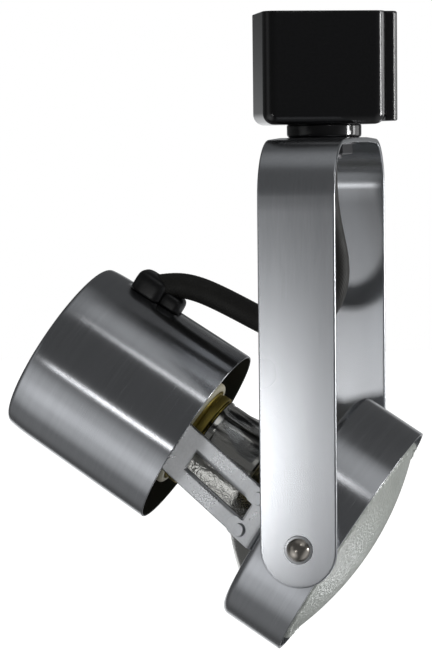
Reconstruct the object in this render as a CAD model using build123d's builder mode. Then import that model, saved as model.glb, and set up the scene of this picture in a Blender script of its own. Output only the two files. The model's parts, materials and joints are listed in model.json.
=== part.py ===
from build123d import *
import math
import os

# Track spotlight: a track adapter carries a strap yoke, and the yoke carries a lamp head.
# Origin at the centre of the adapter's top face, where it meets the track.
# X runs along the track, Y across it, Z up. The head hangs below, turned and tilted as it rests.

# ---- track adapter
adapter_length = 54.6
adapter_offset = 0.5
adapter_width = 35.4
adapter_height = 44.6
adapter_wall = 2.0
floor_thickness = 2.5
adapter_corner = 5.0
adapter_foot_round = 4.4
latch_thickness = 5.4
latch_width = 27.0
latch_lift = 1.2
latch_travel = 3.0
tongue_bottom = -35.0
tongue_height = 7.0
tongue_length = 7.0

# ---- contact carrier inside the adapter
carrier_depth = 15.0
pocket_depth = 7.0
pocket_width = 5.0
blade_thickness = 0.8
blade_width = 6.0
blade_pitch = 9.5
blade_place = -10.0

# ---- swivel
stem_radius = 7.5
stem_bore = 5.7
stem_flange = 11.0
collar_radius = 15.0
collar_height = 5.2
washer_thickness = 0.8
nut_thickness = 4.0
nut_flats = 20.0
run_clearance = 0.05

# ---- strap yoke
strap_width = 30.0
strap_thickness = 2.0
yoke_outer = 59.5
yoke_drop = 157.2
yoke_crown = 1.2
bend_radius = 21.5

# ---- resting pose of the head
head_turn = -20.9
beam_tilt = 32.9

# ---- lamp ring and its pivots
ring_radius = 52.5
ring_front = 12.0
ring_rear = -16.7
ring_wall = 1.2
ring_lip_radius = 43.0
ring_shoulder = 3.6
pivot_head_radius = 4.6
pivot_shank = 2.0
pivot_washer_radius = 5.6

# ---- reflector lamp, 95 mm across the face, with a 26 mm screw cap
lamp_radius = 47.6
lamp_rim_rear = -0.5
lamp_rim_front = 9.6
lens_apex = 20.4
lens_thickness = 3.0
glass_wall = 1.8
neck_radius = 19.6
neck_front = -38.0
neck_rear = -57.0
bowl_focal = 54.0
bowl_apex = -42.6
bowl_start = -33.0
capsule_radius = 5.2
capsule_rear = -35.0
capsule_front = -11.0
skirt_radius = 20.6
skirt_rear = -70.0
cap_radius = 13.3
cap_rear = -91.0
cap_tip = -95.7
thread_pitch = 3.6

# ---- lampholder, its bracket and the rear can
holder_radius = 24.0
holder_front = -66.0
holder_rear = -107.0
cage_turn = 3.0
cage_thickness = 1.5
cage_width = 22.4
cage_radius = 27.4
cage_flare = 24.0
cage_end = -19.2
window_width = 7.8
window_rear = -57.4
window_front = -26.0
foot_thickness = 1.2
can_mouth = -64.5
can_rear = -133.7
can_mouth_radius = 39.5
can_rear_radius = 38.45
can_wall = 1.0
can_shoulder = 3.6

# ---- cord
cord_radius = 5.15
relief_position = -113.5
relief_height = 8.2

os.makedirs("parts", exist_ok=True)


def write(piece, name):
    piece.part.label = name
    export_step(piece.part, f"parts/{name}.step")


# ---- reference directions and planes
turn = math.radians(head_turn)
tilt = math.radians(beam_tilt)
flare = math.radians(cage_flare)
set_angle = math.radians(cage_turn)
up = Vector(0, 0, 1)
head_x = Vector(math.cos(turn), math.sin(turn), 0)
head_y = Vector(-math.sin(turn), math.cos(turn), 0)
aim = head_x * math.cos(tilt) - up * math.sin(tilt)
lift = head_x * math.sin(tilt) + up * math.cos(tilt)
cage_y = head_y * math.cos(set_angle) + lift * math.sin(set_angle)
cage_t = lift * math.cos(set_angle) - head_y * math.sin(set_angle)
web_top = -adapter_height - collar_height
pivot = Vector(0, 0, web_top - yoke_drop)

yoke_front = Plane(origin=pivot, x_dir=head_y, z_dir=head_x)
yoke_side = Plane(origin=pivot, x_dir=head_x, z_dir=-head_y)
beam_face = Plane(origin=pivot, x_dir=head_y, z_dir=aim)
beam_section = Plane(origin=pivot, x_dir=aim, z_dir=-head_y)
cage_side = Plane(origin=pivot, x_dir=aim, z_dir=-cage_t)
cage_front = Plane(origin=pivot, x_dir=aim, z_dir=-cage_y)
beam_axis = Axis(pivot, aim)

shell_right = adapter_length / 2 + adapter_offset - latch_thickness
shell_length = adapter_length - latch_thickness
shell_middle = shell_right - shell_length / 2
adapter_floor = -adapter_height + floor_thickness


# ============ track adapter ============
head_recess = 2.2
screw_posts = [(-19.5, -10.5), (-19.5, 10.5), (15.0, -10.5), (15.0, 10.5)]

# Moulded box, open at the top, with posts for the contact carrier
with BuildPart() as adapter_housing:
    with BuildSketch(Plane.XY.offset(-adapter_height)):
        with Locations((shell_middle, 0)):
            RectangleRounded(shell_length, adapter_width, adapter_corner)
    extrude(amount=adapter_height)
    fillet(adapter_housing.faces().sort_by(Axis.Z)[0].edges(), adapter_foot_round)
    fillet(adapter_housing.faces().sort_by(Axis.Z)[-1].edges(), 0.4)
    with BuildSketch(Plane.XY.offset(adapter_floor)):
        with Locations((shell_middle, 0)):
            RectangleRounded(
                shell_length - 2 * adapter_wall,
                adapter_width - 2 * adapter_wall,
                adapter_corner - adapter_wall,
            )
    extrude(amount=adapter_height, mode=Mode.SUBTRACT)
    with BuildSketch(Plane.XY.offset(adapter_floor)):
        with Locations(*screw_posts):
            Circle(3.2)
    extrude(amount=-carrier_depth - adapter_floor)
    with BuildSketch(Plane.XY.offset(-carrier_depth)):
        with Locations(*screw_posts):
            Circle(1.3)
    extrude(amount=-14, mode=Mode.SUBTRACT)
    with BuildSketch(Plane.XY.offset(-adapter_height)):
        Circle(stem_radius + run_clearance)
    extrude(amount=floor_thickness, mode=Mode.SUBTRACT)
    with BuildSketch(Plane.YZ.offset(shell_right)):
        with Locations((0, tongue_bottom + tongue_height / 2 - latch_travel / 2)):
            Rectangle(9, tongue_height + latch_travel + 0.1)
    extrude(amount=-adapter_wall, mode=Mode.SUBTRACT)
write(adapter_housing, "adapter_housing")

# Insulating block that carries the three contact blades
with BuildPart() as contact_carrier:
    with BuildSketch(Plane.XY.offset(-carrier_depth)):
        with Locations((shell_middle, 0)):
            RectangleRounded(
                shell_length - 2 * adapter_wall - 0.4,
                adapter_width - 2 * adapter_wall - 0.4,
                2.8,
            )
    extrude(amount=carrier_depth)
    with BuildSketch(Plane.XY):
        with Locations((blade_place, 0)):
            with GridLocations(0, blade_pitch, 1, 3):
                RectangleRounded(blade_width + 4, pocket_width, 0.8)
    extrude(amount=-pocket_depth, mode=Mode.SUBTRACT)
    with BuildSketch(Plane.XY):
        with Locations((blade_place, 0)):
            with GridLocations(0, blade_pitch, 1, 3):
                Rectangle(blade_width + 0.2, blade_thickness + 0.2)
    extrude(amount=-carrier_depth, mode=Mode.SUBTRACT)
    with Locations(*screw_posts):
        CounterBoreHole(
            radius=1.45,
            counter_bore_radius=2.7,
            counter_bore_depth=head_recess,
            depth=carrier_depth,
        )
write(contact_carrier, "contact_carrier")


# Springy blade: a flat tail through the carrier, bowed sideways in its pocket and folded at the tip
def contact_blade(y, reach):
    with BuildPart() as blade:
        with BuildSketch(Plane.YZ.offset(blade_place - blade_width / 2)):
            with BuildLine():
                FilletPolyline(
                    (y, -carrier_depth - 5),
                    (y, -pocket_depth + 1.2),
                    (y + 1.3 * reach, -3.4),
                    (y - 0.2 * reach, -0.9),
                    (y - 1.2 * reach, -1.9),
                    radius=0.7,
                )
            trace(line_width=blade_thickness)
        extrude(amount=blade_width)
    return blade


write(contact_blade(-blade_pitch, 1), "line_contact")
write(contact_blade(0, 1), "ground_contact")
write(contact_blade(blade_pitch, -1), "neutral_contact")

with BuildPart() as carrier_screws:
    with BuildSketch(Plane.XY.offset(-head_recess)):
        with Locations(*screw_posts):
            Circle(2.4)
    extrude(amount=1.7)
    with BuildSketch(Plane.XY.offset(1.7 - head_recess)):
        with Locations(*screw_posts):
            Rectangle(3.4, 0.6)
            Rectangle(0.6, 3.4)
    extrude(amount=-0.8, mode=Mode.SUBTRACT)
    with BuildSketch(Plane.XY.offset(-head_recess)):
        with Locations(*screw_posts):
            Circle(1.25)
    extrude(amount=-20)
write(carrier_screws, "carrier_screws")

# Release latch: a plate on the end of the box, with a tongue through the wall onto its spring
with BuildPart() as release_latch:
    with BuildSketch(Plane.XY.offset(-adapter_height + latch_lift)):
        with Locations((shell_right + run_clearance + (latch_thickness - run_clearance) / 2, 0)):
            Rectangle(latch_thickness - run_clearance, latch_width)
    extrude(amount=adapter_height - latch_lift)
    plate_ends = release_latch.faces().sort_by(Axis.X)[-1].edges().filter_by(Axis.Z)
    fillet(plate_ends, 3.2)
    plate_rim = release_latch.faces().sort_by(Axis.X)[-1].edges()
    fillet(plate_rim.filter_by(Axis.Y), 0.8)
    for rib in range(4):
        with BuildSketch(Plane.YZ.offset(shell_right + latch_thickness)):
            with Locations((0, -adapter_height + 7 + 2.2 * rib)):
                SlotOverall(15, 1.0)
        extrude(amount=-0.6, mode=Mode.SUBTRACT)
    with BuildSketch(Plane.XY.offset(tongue_bottom)):
        with Locations((shell_right - tongue_length / 2 + 0.1, 0)):
            Rectangle(tongue_length + 0.2, 8.6)
    extrude(amount=tongue_height)
    with BuildSketch(Plane.XY.offset(tongue_bottom)):
        with Locations((shell_right - 4.6, 0)):
            Circle(1.3)
    extrude(amount=-2.6)
write(release_latch, "release_latch")

# Compression spring between the floor and the latch tongue
spring_height = tongue_bottom - adapter_floor
with BuildPart() as latch_spring:
    with BuildLine():
        Helix(
            pitch=(spring_height - 0.8) / 4,
            height=spring_height - 0.8,
            radius=2.0,
            center=(shell_right - 4.6, 0, adapter_floor + 0.4),
        )
    spring_foot = (shell_right - 2.6, 0, adapter_floor + 0.4)
    with BuildSketch(Plane(origin=spring_foot, x_dir=(1, 0, 0), z_dir=(0, 1, 0.14))):
        Circle(0.35)
    sweep(is_frenet=True)
write(latch_spring, "latch_spring")

# ============ swivel ============
# Hollow stem with a flange inside the box; the cord runs up through it
stem_end = web_top - strap_thickness - washer_thickness - nut_thickness - 1.6
with BuildPart() as swivel_stem:
    with BuildSketch(Plane.XY.offset(stem_end)):
        Circle(stem_radius)
    extrude(amount=adapter_floor - stem_end)
    with BuildSketch(Plane.XY.offset(adapter_floor)):
        RegularPolygon(stem_flange, 6)
    extrude(amount=2.2)
    with BuildSketch(Plane.XY.offset(stem_end)):
        Circle(stem_bore)
    extrude(amount=60, mode=Mode.SUBTRACT)
    chamfer(swivel_stem.faces().sort_by(Axis.Z)[0].edges(), 0.5)
write(swivel_stem, "swivel_stem")

# Grip collar between the box and the yoke: broad lobes parted by shallow flutes
with BuildPart() as swivel_collar:
    with BuildSketch(Plane.XY.offset(web_top)):
        Circle(collar_radius)
    extrude(amount=collar_height)
    fillet(swivel_collar.faces().sort_by(Axis.Z)[0].edges(), 2.4)
    with BuildSketch(Plane.XY.offset(web_top)):
        with PolarLocations(collar_radius + 0.6, 10, start_angle=14):
            Circle(1.7)
    extrude(amount=collar_height, mode=Mode.SUBTRACT)
    with BuildSketch(Plane.XY.offset(web_top)):
        Circle(stem_radius + run_clearance)
    extrude(amount=collar_height, mode=Mode.SUBTRACT)
write(swivel_collar, "swivel_collar")

with BuildPart() as friction_washer:
    with BuildSketch(Plane.XY.offset(web_top - strap_thickness)):
        Circle(12.5)
        Circle(stem_radius + run_clearance, mode=Mode.SUBTRACT)
    extrude(amount=-washer_thickness)
write(friction_washer, "friction_washer")

with BuildPart() as stem_nut:
    with BuildSketch(Plane.XY.offset(web_top - strap_thickness - washer_thickness)):
        RegularPolygon(nut_flats / 2, 6, major_radius=False)
        Circle(stem_radius + 0.02, mode=Mode.SUBTRACT)
    extrude(amount=-nut_thickness)
    chamfer(stem_nut.faces().sort_by(Axis.Z)[0].outer_wire().edges(), 0.6)
write(stem_nut, "stem_nut")

# ============ yoke ============
arm_middle = yoke_outer - strap_thickness / 2
web_middle = yoke_drop - strap_thickness / 2
crown_half = 18.0
with BuildPart() as yoke:
    with BuildSketch(yoke_front.offset(-strap_width / 2)):
        with BuildLine():
            FilletPolyline(
                (-arm_middle, -strap_width / 2),
                (-arm_middle, web_middle - yoke_crown),
                (-crown_half, web_middle),
                (crown_half, web_middle),
                (arm_middle, web_middle - yoke_crown),
                (arm_middle, -strap_width / 2),
                radius=bend_radius - strap_thickness / 2,
            )
        trace(line_width=strap_thickness)
    extrude(amount=strap_width)
    with BuildSketch(yoke_side):
        Rectangle(strap_width + 2, strap_width, align=(Align.CENTER, Align.MAX))
        Circle(strap_width / 2, mode=Mode.SUBTRACT)
    extrude(amount=yoke_outer + 1, both=True, mode=Mode.SUBTRACT)
    with BuildSketch(yoke_side):
        Circle(pivot_shank + run_clearance)
    extrude(amount=yoke_outer + 1, both=True, mode=Mode.SUBTRACT)
    with BuildSketch(Plane.XY.offset(web_top + 1)):
        Circle(stem_radius + run_clearance)
    extrude(amount=-strap_thickness - 2, mode=Mode.SUBTRACT)
write(yoke, "yoke")


# ============ pivots ============
# Everything below here on both sides of the ring comes as a mirrored pair
def pivot_side(side):
    return Plane(origin=pivot, x_dir=head_x, z_dir=head_y * side)


with BuildPart() as pivot_screws:
    for side in (-1, 1):
        with BuildSketch(pivot_side(side).offset(yoke_outer + 0.5)):
            Circle(pivot_head_radius)
        extrude(amount=3.0)
        crown = pivot_screws.faces().sort_by(Axis(pivot, head_y * side))[-1]
        fillet(crown.edges(), 2.9)
        with BuildSketch(pivot_side(side).offset(48.2)):
            Circle(pivot_shank)
        extrude(amount=yoke_outer + 0.5 - 48.2)
write(pivot_screws, "pivot_screws")

with BuildPart() as pivot_washers:
    for side in (-1, 1):
        with BuildSketch(pivot_side(side).offset(yoke_outer)):
            Circle(pivot_washer_radius)
            Circle(pivot_shank + 0.1, mode=Mode.SUBTRACT)
        extrude(amount=0.5)
write(pivot_washers, "pivot_washers")

with BuildPart() as pivot_spacers:
    for side in (-1, 1):
        with BuildSketch(pivot_side(side).offset(ring_radius)):
            Circle(4.5)
            Circle(pivot_shank + 0.05, mode=Mode.SUBTRACT)
        extrude(amount=yoke_outer - strap_thickness - ring_radius)
write(pivot_spacers, "pivot_spacers")

with BuildPart() as pivot_nuts:
    for side in (-1, 1):
        with BuildSketch(pivot_side(side).offset(48.3)):
            RegularPolygon(3.5, 6, major_radius=False)
            Circle(pivot_shank + 0.02, mode=Mode.SUBTRACT)
        extrude(amount=2.7)
write(pivot_nuts, "pivot_nuts")

# ============ lamp ring ============
with BuildPart() as lamp_ring:
    with BuildSketch(beam_section):
        with BuildLine():
            FilletPolyline(
                (ring_front, ring_radius - ring_wall / 2),
                (ring_rear + ring_wall / 2, ring_radius - ring_wall / 2),
                (ring_rear + ring_wall / 2, ring_lip_radius),
                radius=ring_shoulder - ring_wall / 2,
            )
        trace(line_width=ring_wall)
    revolve(axis=beam_axis)
    with BuildSketch(yoke_side):
        Circle(pivot_shank + 0.05)
    extrude(amount=ring_radius + 2, both=True, mode=Mode.SUBTRACT)
    fillet(lamp_ring.edges().filter_by(GeomType.CIRCLE).sort_by(beam_axis)[-2:], 0.4)
write(lamp_ring, "lamp_ring")

# ============ reflector lamp ============
# The bowl is a parabola that opens from the neck; wall is measured inwards from the outer surface
def bowl_radius(a):
    return math.sqrt(bowl_focal * (a - bowl_apex))


def glass_outline(wall):
    steps = [bowl_start + (lamp_rim_rear - bowl_start) * step / 6 for step in range(7)]
    curve = [(neck_front - 2.5, neck_radius - wall), (neck_front, neck_radius - wall)]
    curve += [(a, min(bowl_radius(a), lamp_radius) - wall) for a in steps]
    Line((neck_rear, neck_radius - wall), curve[0])
    Spline(*curve)
    Polyline(
        curve[-1],
        (lamp_rim_front, curve[-1][1]),
        (lamp_rim_front, 0),
        (neck_rear, 0),
        (neck_rear, neck_radius - wall),
    )


# Pressed glass bowl with a cylindrical neck and an upright rim
with BuildPart() as lamp_bowl:
    with BuildSketch(beam_section):
        with BuildLine():
            glass_outline(0)
        make_face()
    revolve(axis=beam_axis)
    with BuildSketch(beam_section):
        with BuildLine():
            glass_outline(glass_wall)
        make_face()
    revolve(axis=beam_axis, mode=Mode.SUBTRACT)
write(lamp_bowl, "lamp_bowl")

# Domed front glass, closed onto the rim of the bowl
def dome_arc(apex, edge_a, edge_r):
    sag = apex - edge_a
    radius = (edge_r**2 + sag**2) / (2 * sag)
    middle = apex - radius + math.sqrt(radius**2 - (edge_r / 2) ** 2)
    ThreePointArc((apex, 0), (middle, edge_r / 2), (edge_a, edge_r))


lens_edge = lamp_rim_front + 1.4
with BuildPart() as lamp_lens:
    with BuildSketch(beam_section):
        with BuildLine():
            Line((lens_apex - lens_thickness, 0), (lens_apex, 0))
            dome_arc(lens_apex, lens_edge, lamp_radius - 0.3)
            Polyline(
                (lens_edge, lamp_radius - 0.3),
                (lamp_rim_front, lamp_radius - 0.3),
                (lamp_rim_front, lamp_radius - glass_wall),
            )
            dome_arc(lens_apex - lens_thickness, lamp_rim_front, lamp_radius - glass_wall)
        make_face()
    revolve(axis=beam_axis)
write(lamp_lens, "lamp_lens")

# Halogen capsule on its stem, inside the bowl
with BuildPart() as lamp_capsule:
    with BuildSketch(beam_section):
        with BuildLine():
            FilletPolyline(
                (neck_rear, 0),
                (neck_rear, 6),
                (neck_rear + 6, 2.6),
                (capsule_rear, 2.6),
                (capsule_rear + 3, capsule_radius),
                (capsule_front, capsule_radius),
                (capsule_front + 2, 0),
                radius=1.4,
            )
            Line((capsule_front + 2, 0), (neck_rear, 0))
        make_face()
    revolve(axis=beam_axis)
write(lamp_capsule, "lamp_capsule")

# Brass skirt crimped round the neck
with BuildPart() as lamp_skirt:
    with BuildSketch(beam_section):
        with BuildLine():
            Polyline(
                (skirt_rear, 0),
                (skirt_rear, skirt_radius - 1.0),
                (skirt_rear + 1.0, skirt_radius),
                (-55.6, skirt_radius),
                (-55.6, neck_radius + 0.03),
                (neck_rear, neck_radius + 0.03),
                (neck_rear, 7),
                (neck_rear - 0.6, 7),
                (neck_rear - 0.6, 0),
                (skirt_rear, 0),
            )
        make_face()
    revolve(axis=beam_axis)
    with BuildSketch(beam_section):
        with Locations((-60.5, skirt_radius + 0.2)):
            Circle(0.7)
    revolve(axis=beam_axis, mode=Mode.SUBTRACT)
write(lamp_skirt, "lamp_skirt")

# Screw cap: a cylinder with rolled rings standing for its thread
with BuildPart() as lamp_cap:
    with BuildSketch(beam_face.offset(cap_rear)):
        Circle(cap_radius - 0.7)
    extrude(amount=skirt_rear - cap_rear)
    for crest in range(5):
        with BuildSketch(beam_face.offset(cap_rear + 1.6 + crest * thread_pitch)):
            Circle(cap_radius)
        extrude(amount=1.6)
    thread_edges = lamp_cap.edges().filter_by(GeomType.CIRCLE).filter_by(
        lambda edge: abs(edge.radius - cap_radius) < 0.01
    )
    chamfer(thread_edges, 0.5)
write(lamp_cap, "lamp_cap")

with BuildPart() as cap_insulator:
    with BuildSketch(beam_face.offset(cap_rear)):
        Circle(cap_radius - 2.2)
    extrude(amount=-2.8, taper=50)
write(cap_insulator, "cap_insulator")

with BuildPart() as cap_contact:
    with BuildSketch(beam_face.offset(cap_rear - 2.8)):
        Circle(4.8)
    extrude(amount=cap_tip - cap_rear + 2.8)
    fillet(cap_contact.faces().sort_by(beam_axis)[0].edges(), 1.2)
write(cap_contact, "cap_contact")

# ============ lampholder ============
sleeve_outer = cap_radius + 0.65
with BuildPart() as lampholder:
    with BuildSketch(beam_face.offset(holder_rear)):
        Circle(holder_radius)
    extrude(amount=holder_front - holder_rear)
    fillet(lampholder.faces().sort_by(beam_axis)[-1].edges(), 1.6)
    chamfer(lampholder.faces().sort_by(beam_axis)[0].edges(), 1.2)
    with BuildSketch(beam_face.offset(skirt_rear - 0.6)):
        Circle(skirt_radius + 0.8)
    extrude(amount=10, mode=Mode.SUBTRACT)
    with BuildSketch(beam_face.offset(cap_tip - 3.2)):
        Circle(sleeve_outer + 0.03)
    extrude(amount=40, mode=Mode.SUBTRACT)
    with BuildSketch(beam_face.offset(holder_rear)):
        with GridLocations(30, 0, 2, 1):
            Circle(1.6)
    extrude(amount=12, mode=Mode.SUBTRACT)
write(lampholder, "lampholder")

with BuildPart() as holder_sleeve:
    with BuildSketch(beam_face.offset(cap_rear + 0.4)):
        Circle(sleeve_outer)
        Circle(cap_radius + 0.1, mode=Mode.SUBTRACT)
    extrude(amount=skirt_rear - cap_rear - 1.4)
write(holder_sleeve, "holder_sleeve")

# Sprung tongue that presses on the cap's centre contact
with BuildPart() as holder_tongue:
    with BuildSketch(beam_section.offset(-3)):
        with BuildLine():
            FilletPolyline(
                (cap_tip - 2.9, -9),
                (cap_tip - 2.9, 2),
                (cap_tip - 0.3, 6),
                (cap_tip - 0.3, -1),
                radius=0.6,
            )
        trace(line_width=0.5)
    extrude(amount=6)
write(holder_tongue, "holder_tongue")

# ============ lamp cage ============
cage_tip_radius = cage_radius + (cage_end - holder_front) * math.tan(flare)
half_cage = cage_thickness / 2
base_plane = holder_rear - half_cage
with BuildPart() as lamp_cage:
    with BuildSketch(cage_side.offset(-cage_width / 2)):
        with BuildLine():
            FilletPolyline(
                (cage_end, -cage_tip_radius + half_cage),
                (holder_front, -cage_radius + half_cage),
                (base_plane, -cage_radius + half_cage),
                (base_plane, cage_radius - half_cage),
                (holder_front, cage_radius - half_cage),
                (cage_end, cage_tip_radius - half_cage),
                radius=3,
            )
        trace(line_width=cage_thickness)
    extrude(amount=cage_width)
    with BuildSketch(cage_front):
        with Locations(((window_rear + window_front) / 2, 0)):
            RectangleRounded(window_front - window_rear, window_width, 0.6)
    extrude(amount=ring_radius, both=True, mode=Mode.SUBTRACT)
    with BuildSketch(beam_face.offset(holder_rear - cage_thickness - 1)):
        with GridLocations(30, 0, 2, 1):
            Circle(1.7)
        with GridLocations(0, 14, 1, 2):
            Circle(1.6)
        Circle(4)
    extrude(amount=cage_thickness + 2, mode=Mode.SUBTRACT)


def on_leg(side, a):
    # Plane on a leg's outer face: x along the leg towards the ring, z outwards
    outward = cage_y * side
    along = aim * math.cos(flare) + outward * math.sin(flare)
    normal = outward * math.cos(flare) - aim * math.sin(flare)
    radius = cage_radius + (a - holder_front) * math.tan(flare) + 0.16
    return Plane(origin=pivot + aim * a + outward * radius, x_dir=along, z_dir=normal)


rivet_a = -23.9
rivet_offset = (window_width + cage_width) / 4
with lamp_cage:
    for side in (-1, 1):
        with BuildSketch(on_leg(side, rivet_a)):
            with GridLocations(0, 2 * rivet_offset, 1, 2):
                Circle(1.62)
        extrude(amount=6, both=True, mode=Mode.SUBTRACT)
write(lamp_cage, "lamp_cage")

# Foot: two round-ended tabs riveted on the leg, turned in to sit on the rear lip of the ring
foot_rear = -31.0
with BuildPart() as cage_feet:
    for side in (-1, 1):
        face = on_leg(side, foot_rear)
        outward = cage_y * side
        mid = foot_thickness / 2 + 0.02
        lip_face = ring_rear - foot_thickness / 2

        foot_plane = Plane(origin=pivot, x_dir=aim, z_dir=aim.cross(outward))
        start = face.origin + face.z_dir * mid
        start_a = (start - pivot).dot(aim)
        start_r = (start - pivot).dot(outward)
        bend_r = start_r + (lip_face - start_a) * math.tan(flare)
        with BuildSketch(foot_plane.offset(-cage_width / 2)):
            with BuildLine():
                FilletPolyline(
                    (start_a, start_r), (lip_face, bend_r), (lip_face, ring_lip_radius + 0.6), radius=1.0
                )
            trace(line_width=foot_thickness)
        extrude(amount=cage_width)
        with BuildSketch(Plane(origin=face.origin, x_dir=face.x_dir, z_dir=face.z_dir)):
            with Locations((0, 0)):
                RectangleRounded(14.0, window_width, 1.2)
            with GridLocations(0, 2 * rivet_offset, 1, 2):
                Rectangle(9.0, cage_width / 2 - window_width / 2 + 0.6)
            with Locations((4.2, rivet_offset), (4.2, -rivet_offset)):
                Circle(cage_width / 4 - window_width / 4, mode=Mode.SUBTRACT)
        extrude(amount=4, mode=Mode.SUBTRACT)
        with BuildSketch(on_leg(side, rivet_a)):
            with GridLocations(0, 2 * rivet_offset, 1, 2):
                Circle(1.62)
        extrude(amount=6, mode=Mode.SUBTRACT)
write(cage_feet, "cage_feet")

with BuildPart() as cage_rivets:
    for side in (-1, 1):
        face = on_leg(side, rivet_a)
        with BuildSketch(face.offset(foot_thickness + 0.03)):
            with GridLocations(0, 2 * rivet_offset, 1, 2):
                Circle(2.8)
        extrude(amount=1.3, taper=18)
        with BuildSketch(face.offset(foot_thickness + 0.03)):
            with GridLocations(0, 2 * rivet_offset, 1, 2):
                Circle(1.6)
        extrude(amount=-(foot_thickness + cage_thickness + 0.6))
        with BuildSketch(face.offset(-cage_thickness - 0.3)):
            with GridLocations(0, 2 * rivet_offset, 1, 2):
                Circle(2.5)
        extrude(amount=-0.9)
write(cage_rivets, "cage_rivets")

# Screws that hold the lampholder on the base of the cage
with BuildPart() as holder_screws:
    with BuildSketch(beam_face.offset(holder_rear - cage_thickness)):
        with GridLocations(30, 0, 2, 1):
            Circle(2.9)
    extrude(amount=-2.0)
    with BuildSketch(beam_face.offset(holder_rear - cage_thickness)):
        with GridLocations(30, 0, 2, 1):
            Circle(1.5)
    extrude(amount=11)
write(holder_screws, "holder_screws")

# ============ rear can ============
post_length = holder_rear - cage_thickness - (can_rear + can_wall)
with BuildPart() as rear_can:
    with BuildSketch(beam_section):
        with BuildLine():
            FilletPolyline(
                (can_mouth, can_mouth_radius - can_wall / 2),
                (can_rear + can_wall / 2, can_rear_radius - can_wall / 2),
                (can_rear + can_wall / 2, 0),
                radius=can_shoulder - can_wall / 2,
            )
        trace(line_width=can_wall)
    revolve(axis=beam_axis)
    with BuildSketch(beam_face.offset(can_rear - 1)):
        with GridLocations(0, 14, 1, 2):
            Circle(1.6)
    extrude(amount=4, mode=Mode.SUBTRACT)
    with BuildSketch(Plane(origin=pivot + aim * relief_position, x_dir=aim, z_dir=lift)):
        Circle(5.6)
    extrude(amount=60, mode=Mode.SUBTRACT)
write(rear_can, "rear_can")

with BuildPart() as can_posts:
    with BuildSketch(beam_face.offset(can_rear + can_wall)):
        with GridLocations(0, 14, 1, 2):
            RegularPolygon(3.2, 6, major_radius=False)
            Circle(1.55, mode=Mode.SUBTRACT)
    extrude(amount=post_length)
write(can_posts, "can_posts")

with BuildPart() as can_screws:
    with BuildSketch(beam_face.offset(can_rear)):
        with GridLocations(0, 14, 1, 2):
            Circle(3.0)
    extrude(amount=-1.9)
    fillet(can_screws.faces().group_by(beam_axis)[0].edges(), 1.1)
    with BuildSketch(beam_face.offset(can_rear)):
        with GridLocations(0, 14, 1, 2):
            Circle(1.5)
    extrude(amount=9)
    with BuildSketch(beam_face.offset(can_rear - 1.9)):
        with GridLocations(0, 14, 1, 2):
            Rectangle(3.4, 0.6)
            Rectangle(0.6, 3.4)
    extrude(amount=0.9, mode=Mode.SUBTRACT)
write(can_screws, "can_screws")

# ============ cord and its relief ============
relief_top = can_rear_radius + relief_height
cord_start = (-70.8, 96.6)
loop_low = (-14.7, 79.6)
loop_right = (4.7, 102.5)
# Hanging line of the cord: one loop from the relief down and back up to the stem
with BuildLine(yoke_side) as cord_path:
    Spline(
        cord_start,
        (-60, 97.3),
        (-45, 92.7),
        (-26, 83.2),
        loop_low,
        (-1.0, 87.3),
        loop_right,
        (2.3, 120),
        (0, 140),
        (0, 150),
        (0, 161),
    )
cord_wire = cord_path.wire()
cord_end = Plane(origin=cord_wire @ 0, z_dir=cord_wire % 0)

# Two-lobed grommet saddled on the can; the cord leaves the rear lobe and passes over the front one
with BuildPart() as strain_relief:
    with BuildSketch(Plane(origin=pivot + aim * relief_position, x_dir=aim, z_dir=lift).offset(30)):
        RectangleRounded(13.6, 13.0, 3.6)
    extrude(amount=relief_top - 30)
    fillet(strain_relief.faces().sort_by(Axis(pivot, lift))[-1].edges(), 2.2)
    with BuildSketch(Plane(origin=pivot + aim * (relief_position + 11), x_dir=aim, z_dir=lift).offset(30)):
        RectangleRounded(9.4, 10.4, 2.8)
    extrude(amount=relief_top - 32)
    with BuildSketch(beam_face.offset(can_rear - 5)):
        Circle(can_rear_radius + 1.0)
    extrude(amount=80, mode=Mode.SUBTRACT)
    with BuildSketch(Plane(origin=pivot + aim * relief_position, x_dir=aim, z_dir=lift).offset(30)):
        Circle(5.5)
    extrude(amount=12)
    with BuildSketch(cord_end):
        Circle(cord_radius + 0.2)
    sweep(path=cord_wire, mode=Mode.SUBTRACT)
write(strain_relief, "strain_relief")

# Woven-sleeved cord
with BuildPart() as power_cord:
    with BuildSketch(cord_end):
        Circle(cord_radius)
    sweep(path=cord_wire)
write(power_cord, "power_cord")
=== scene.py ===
import json
import math

import bmesh
import bpy
from mathutils import Matrix, Vector, kdtree


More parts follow.
